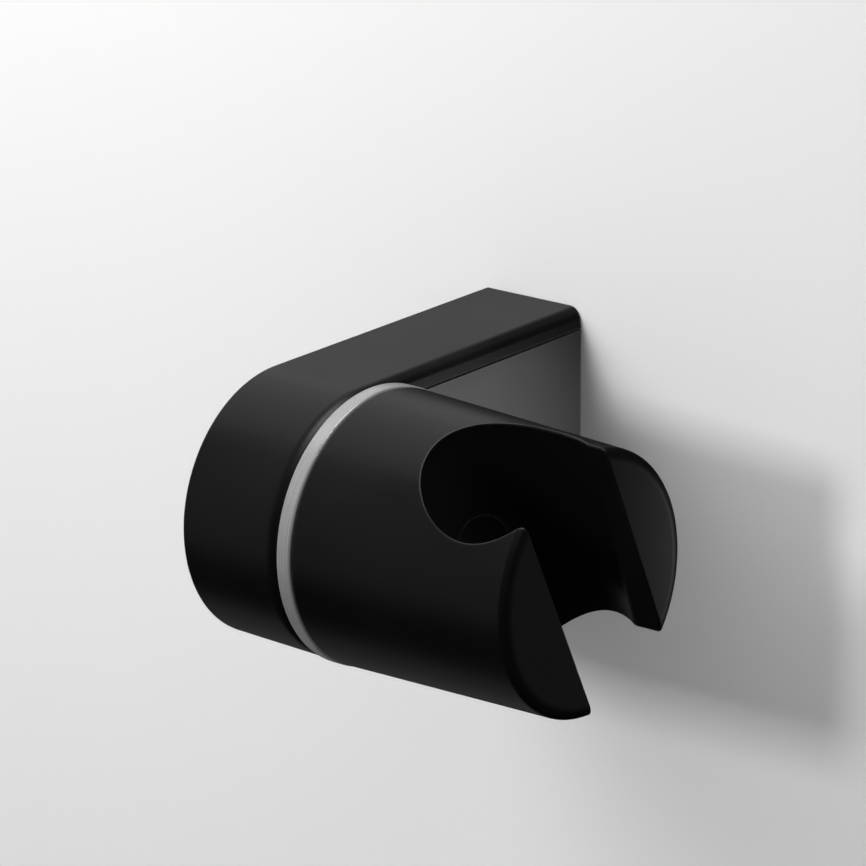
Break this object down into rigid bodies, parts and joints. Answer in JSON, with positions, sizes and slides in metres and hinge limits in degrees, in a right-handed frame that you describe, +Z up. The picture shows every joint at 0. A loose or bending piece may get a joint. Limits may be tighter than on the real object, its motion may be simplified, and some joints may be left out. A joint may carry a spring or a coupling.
{
  "type": "shower head wall bracket",
  "caption": "Wall bracket with a swivelling round cradle that holds a handheld shower head in a tilted, open-sided conical socket.",
  "frame": {"origin": "on the wall, level with the swivel axis, at the middle of the base's width", "axes": "+X along the swivel axis from the base to the cradle, +Y into the wall, +Z up"},
  "size_m": [0.0608, 0.0688, 0.0434],
  "materials": {
    "black_coat": "satin black coating",
    "satin_ring": "satin light grey",
    "moulded_grey": "moulded, glass filled",
    "foam": "closed-cell foam",
    "seal_rubber": "smooth rubber",
    "acetal": "natural acetal",
    "zinc_steel": "zinc plated",
    "stainless": "stainless steel",
    "brass_fitting": "turned brass"
  },
  "bodies": {
    "base": {"base_shell": "black_coat", "side_plate": "black_coat", "side_plate_screws": "zinc_steel", "accent_ring": "satin_ring", "friction_washer": "acetal", "wall_plate": "moulded_grey", "wall_gasket": "foam", "lock_insert": "brass_fitting", "lock_screw": "stainless", "pivot_nut": "brass_fitting", "nut_washer": "stainless", "pivot_screw": "stainless", "spring_washer": "stainless", "head_washer": "stainless"},
    "cradle": {"cradle_shell": "black_coat", "hub_plate": "moulded_grey", "hub_screws": "zinc_steel", "pivot_bush": "acetal", "thrust_washer": "acetal", "screw_cap": "black_coat", "o_ring": "seal_rubber"}
  },
  "joints": [
    {"name": "cradle_swivel", "type": "hinge", "parent": "base", "child": "cradle", "pos_m": [0, -0.0478, 0], "axis": [1, 0, 0], "continuous": true}
  ]
}
